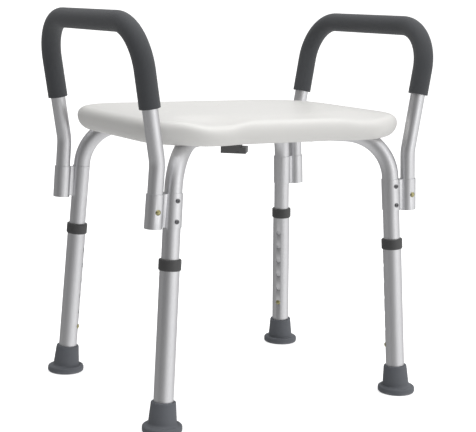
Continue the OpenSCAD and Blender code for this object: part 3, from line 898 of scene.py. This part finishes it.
class STOOL_OT_buttons(bpy.types.Operator):
    """Models the domed snap buttons of the legs and arms"""

    bl_idname = "stool.buttons"
    bl_label = "Snap Buttons"

    def execute(self, context):
        sizes = context.scene.stool_sizes
        layout = Layout(sizes)
        radius, dome, flange = sizes.button / 2, 1.7 * MM, 1.1 * MM
        places = {
            "leg": (9.2 * MM, sizes.leg_tube / 2 + 1.8 * MM, layout.leg_snap(sizes.first_hole)),
            "arm": (7.6 * MM, sizes.arm_tube / 2 + 3.28 * MM, layout.arm_snap()),
        }
        ball = (radius**2 + dome**2) / (2 * dome)
        for kind, (back, tip, at) in places.items():
            steep = math.degrees(math.acos(radius / ball))
            cap = arc(0, tip - ball, ball, steep, 86, 8)
            profile = [(radius + flange, back), (radius + flange, back + 0.8 * MM), (radius, back + 0.8 * MM),
                       (radius, tip - dome - 0.3 * MM), *cap]
            button = placed(turned("button", profile, 40, 50), at)
            for corner in CORNERS:
                twin = copied(button, kind + "_snap_" + corner, flip(corner))
                settle(twin, f"{kind}_button_body_{corner}", [f"{kind}_button_{corner}"], "brass_button")
            discard(button)
        return {"FINISHED"}


class STOOL_OT_brackets(bpy.types.Operator):
    """Models the brackets that hold the arms on the legs, and their screws"""

    bl_idname = "stool.brackets"
    bl_label = "Brackets"

    def bracket(self, sizes, layout):
        """The rear right bracket: a saddle on the leg, a web, and a socket for the arm."""
        tall, wall = sizes.bracket_height, TUBE_WALL
        low = (sizes.bracket_top - tall) / math.cos(layout.splay)
        saddle, socket = sizes.frame_tube / 2 + SNUG, sizes.arm_tube / 2 + 0.08 * MM
        reach, aim = SADDLE_TO_SOCKET.length, math.atan2(SADDLE_TO_SOCKET.y, SADDLE_TO_SOCKET.x)
        body = placed(rod("saddle", saddle + wall, low, low + tall, 64), layout.leg)
        combine(body, placed(rod("socket", socket + wall, -tall / 2, tall / 2, 64), layout.post), "UNION")
        web = block("web", (0, -4.5 * MM, MM - tall / 2), (reach, 4.5 * MM, tall / 2 - MM))
        middle = layout.leg_at(layout.bracket_mid)
        combine(body, placed(web, Matrix.Translation(middle) @ turn("Z", aim)), "UNION")
        combine(body, placed(rod("leg_bore", saddle, low - MM, low + tall + MM, 64), layout.leg))
        combine(body, placed(rod("arm_bore", socket, -tall, tall, 64), layout.post))
        mouth = block("mouth", (0, 0, low - MM), (60 * MM, 60 * MM, low + tall + MM))
        facing = math.pi + aim - layout.frame_turn - math.radians(45)
        combine(body, placed(mouth, layout.leg @ turn("Z", facing)))
        pin = rod("pin", sizes.button / 2 + HOLE_ROOM, 0, 25 * MM, 32)
        return eased(combine(body, placed(pin, layout.arm_snap())), 0.35 * MM)

    def execute(self, context):
        sizes = context.scene.stool_sizes
        layout = Layout(sizes)
        bracket = self.bracket(sizes, layout)
        screw = cross_head("screw", 3.3 * MM, 2 * MM, 1.9 * MM, 6 * MM)
        screws = []
        for corner in CORNERS:
            piece = copied(bracket, "bracket_" + corner, flip(corner))
            settle(piece, "frame", ["arm_bracket_" + corner], "bracket_aluminium")
            for drop in SCREW_DROPS:
                spot = layout.leg_at(sizes.bracket_top - drop)
                spot.y += sizes.frame_tube / 2 + TUBE_WALL + 2 * SNUG
                at = Matrix.Translation(spot) @ turn("X", math.radians(-90)) @ turn("Z", drop * 60)
                screws.append(copied(screw, "screw", flip(corner) @ at))
        discard(bracket)
        discard(screw)
        settle(joined(screws, "bracket_screw_set"), "frame", ["bracket_screws"], "dark_screw")
        return {"FINISHED"}


class STOOL_OT_arms(bpy.types.Operator):
    """Models the bent tubes of the two arms"""

    bl_idname = "stool.arms"
    bl_label = "Arm Tubes"

    def execute(self, context):
        sizes = context.scene.stool_sizes
        layout = Layout(sizes)
        radius, corner = sizes.arm_tube / 2, sizes.arm_corner
        bends = [ARM_BEND, corner, corner, ARM_BEND]
        bottom = 0.7 * MM - sizes.bracket_height / 2
        tube = swept("arm", radius, layout.arm_path(bottom), bends)
        combine(tube, swept("bore", radius - ARM_WALL, layout.arm_path(bottom - MM), bends))
        for end_name in ("front_right", "rear_right"):
            hole = rod("hole", sizes.button / 2 + HOLE_ROOM, 0, 20 * MM, 32)
            combine(tube, placed(hole, flip(end_name) @ layout.arm_snap()))
        eased(tube, 0.25 * MM)
        for side in SIDES:
            piece = copied(tube, "arm_bar_" + side, flip(side))
            settle(piece, "arm_" + side, ["arm_tube_" + side], "aluminium_tube")
        discard(tube)
        return {"FINISHED"}


class STOOL_OT_grips(bpy.types.Operator):
    """Models the foam grips on the arms"""

    bl_idname = "stool.grips"
    bl_label = "Foam Grips"

    def execute(self, context):
        sizes = context.scene.stool_sizes
        layout = Layout(sizes)
        bends = [sizes.arm_corner] * 2
        bare = {"left": (76.3 * MM, 67.7 * MM), "right": (88.5 * MM, 70.4 * MM)}
        for side in SIDES:
            front, rear = bare[side]
            path = layout.pad_path(front, rear)
            grip = swept("grip_" + side, sizes.arm_pad / 2, path, bends, 56, 24, 8 * MM)
            inner = layout.pad_path(front - MM, rear - MM)
            combine(grip, swept("bore", sizes.arm_tube / 2 + 0.02 * MM, inner, bends))
            eased(grip, 1.3 * MM, 4)
            placed(grip, flip(side))
            settle(grip, "arm_" + side, ["arm_pad_" + side], "foam_grip")
        return {"FINISHED"}


class STOOL_OT_hidden_parts(bpy.types.Operator):
    """Finishes the springs, washers and nut, which keep their CAD shapes"""

    bl_idname = "stool.hidden_parts"
    bl_label = "Springs and Washers"

    def execute(self, context):
        kinds = ("leg_spring_", "arm_spring_", "foot_washer_")
        names = ["clamp_nut", *(kind + corner for kind in kinds for corner in CORNERS)]
        for name in names:
            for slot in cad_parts[name].material_slots:
                slot.material = finish_of("zinc_steel")
        return {"FINISHED"}


# ---- stage ----


def lamp(name, spot, target, width, height, power):
    """A soft rectangular light."""
    light = bpy.data.lights.new(name, "AREA")
    light.shape, light.size, light.size_y, light.energy = "RECTANGLE", width, height, power
    obj = bpy.data.objects.new(name, light)
    bpy.context.collection.objects.link(obj)
    obj.location = spot
    obj.rotation_euler = (Vector(target) - Vector(spot)).to_track_quat("-Z", "Y").to_euler()
    return obj


class STOOL_OT_stage(bpy.types.Operator):
    """Sets the pale floor, the soft lights and the camera"""

    bl_idname = "stool.stage"
    bl_label = "Stage"

    def camera(self):
        """A long lens, low in front and to the left."""
        azimuth, rise, roll = (math.radians(a) for a in (-31.674, 9.645, 1.58))
        back = turn("Z", azimuth) @ Vector((0, -math.cos(rise), math.sin(rise)))
        level = Vector((math.cos(azimuth), math.sin(azimuth), 0))
        upright = back.cross(level)
        across = level * math.cos(roll) + upright * math.sin(roll)
        spot = Vector((9.97 * MM, 0, 267.1 * MM)) + back * 2.0029
        camera = bpy.data.objects.new("camera", bpy.data.cameras.new("camera"))
        camera.data.lens, camera.data.sensor_width = 96.24, 36
        camera.data.clip_start, camera.data.clip_end = 0.1, 100
        turned_to = Matrix((across, back.cross(across), back)).transposed().to_4x4()
        camera.matrix_world = Matrix.Translation(spot) @ turned_to
        bpy.context.collection.objects.link(camera)
        bpy.context.scene.camera = camera

    def floor(self, colours):
        """A pale floor that runs up into a backdrop all round."""
        deselect()
        bpy.ops.mesh.primitive_circle_add(vertices=96, radius=6, fill_type="NGON")
        floor = begin("floor")
        pick("EDGE", lambda middle, edge: True)
        for out, up in ((1.12, 0.15), (1.08, 0.5), (1.03, 1.0), (1.0, 7.0)):
            bpy.ops.mesh.extrude_edges_move()
            bpy.ops.transform.resize(value=(out, out, 1), center_override=(0, 0, 0))
            bpy.ops.transform.translate(value=(0, 0, up))
        bpy.ops.object.mode_set(mode="OBJECT")
        bpy.ops.object.shade_smooth()
        r = new_recipe("pale_floor")
        floor.data.materials.append(
            r.surface(
                base_color=shade(colours.floor, 1.0), roughness=0.9, specular_ior_level=0.0,
                emission_color=(1, 1, 1, 1), emission_strength=0.62,
            )
        )
        floor.visible_glossy = floor.visible_diffuse = False

    def execute(self, context):
        self.camera()
        self.floor(context.scene.stool_finishes)
        middle = (0, 0, 0.3)
        lamp("overhead", (0.1, -0.1, 2.4), middle, 1.8, 1.8, 18)
        lamp("front", (0.9, -2.1, 0.9), middle, 0.9, 1.6, 4.2)
        world = bpy.data.worlds.new("studio")
        context.scene.world = world
        r = Recipe(world)
        aim = r.node("ShaderNodeTexCoord")

        def facing(direction, low, high):
            """1 towards a direction and 0 away from it."""
            sockets = {0: aim, 1: Vector(direction).normalized()}
            towards = r.node("ShaderNodeVectorMath", {"operation": "DOT_PRODUCT"}, sockets, output=1)
            return towards.between(low, high)

        # an even grey, darker to the left, with a bright strip in front, and light from above and below
        light = 0.32 - 0.17 * facing((-0.86, -0.5, 0), 0.6, 0.97)
        light = light + 0.4 * facing((0.45, -0.9, 0.1), 0.55, 0.95) + 0.3 * facing((1, 0.2, 0), 0.2, 0.9)
        light = light + 0.65 * facing((0, 0, 1), 0.35, 0.9) + 0.45 * facing((0.1, -0.3, -1), -0.1, 0.8)
        shader = r.node("ShaderNodeBackground", None, {"Color": (1, 1, 1, 1), "Strength": light})
        r.node("ShaderNodeOutputWorld", None, {0: shader})
        context.scene.view_settings.view_transform = "Standard"
        return {"FINISHED"}


class STOOL_PT_sidebar(bpy.types.Panel):
    """The stool's sizes, finishes and pieces"""

    bl_idname = "STOOL_PT_sidebar"
    bl_label = "Shower Stool"
    bl_space_type = "VIEW_3D"
    bl_region_type = "UI"
    bl_category = "Stool"

    def draw(self, context):
        for group in (context.scene.stool_sizes, context.scene.stool_finishes):
            for name in group.__annotations__:
                self.layout.prop(group, name)
        for operator in OPERATORS:
            self.layout.operator(operator.bl_idname)


OPERATORS = (
    STOOL_OT_stage, STOOL_OT_seat, STOOL_OT_frame_tubes, STOOL_OT_clamp, STOOL_OT_legs, STOOL_OT_buttons,
    STOOL_OT_brackets, STOOL_OT_arms, STOOL_OT_grips, STOOL_OT_hidden_parts,
)
CLASSES = (StoolSizes, StoolFinishes, *OPERATORS, STOOL_PT_sidebar)


def register():
    """Adds the classes and the scene's properties."""
    for item in CLASSES:
        bpy.utils.register_class(item)
    bpy.types.Scene.stool_sizes = PointerProperty(type=StoolSizes)
    bpy.types.Scene.stool_finishes = PointerProperty(type=StoolFinishes)


def unregister():
    """Removes what register added."""
    del bpy.types.Scene.stool_finishes
    del bpy.types.Scene.stool_sizes
    for item in reversed(CLASSES):
        bpy.utils.unregister_class(item)


def main():
    """Builds the stool around its frame."""
    register()
    bpy.ops.stool.stage()
    bpy.ops.stool.seat()
    bpy.ops.stool.frame_tubes()
    bpy.ops.stool.clamp()
    bpy.ops.stool.legs()
    bpy.ops.stool.buttons()
    bpy.ops.stool.brackets()
    bpy.ops.stool.arms()
    bpy.ops.stool.grips()
    bpy.ops.stool.hidden_parts()
    deselect()


if __name__ == "__main__":
    main()
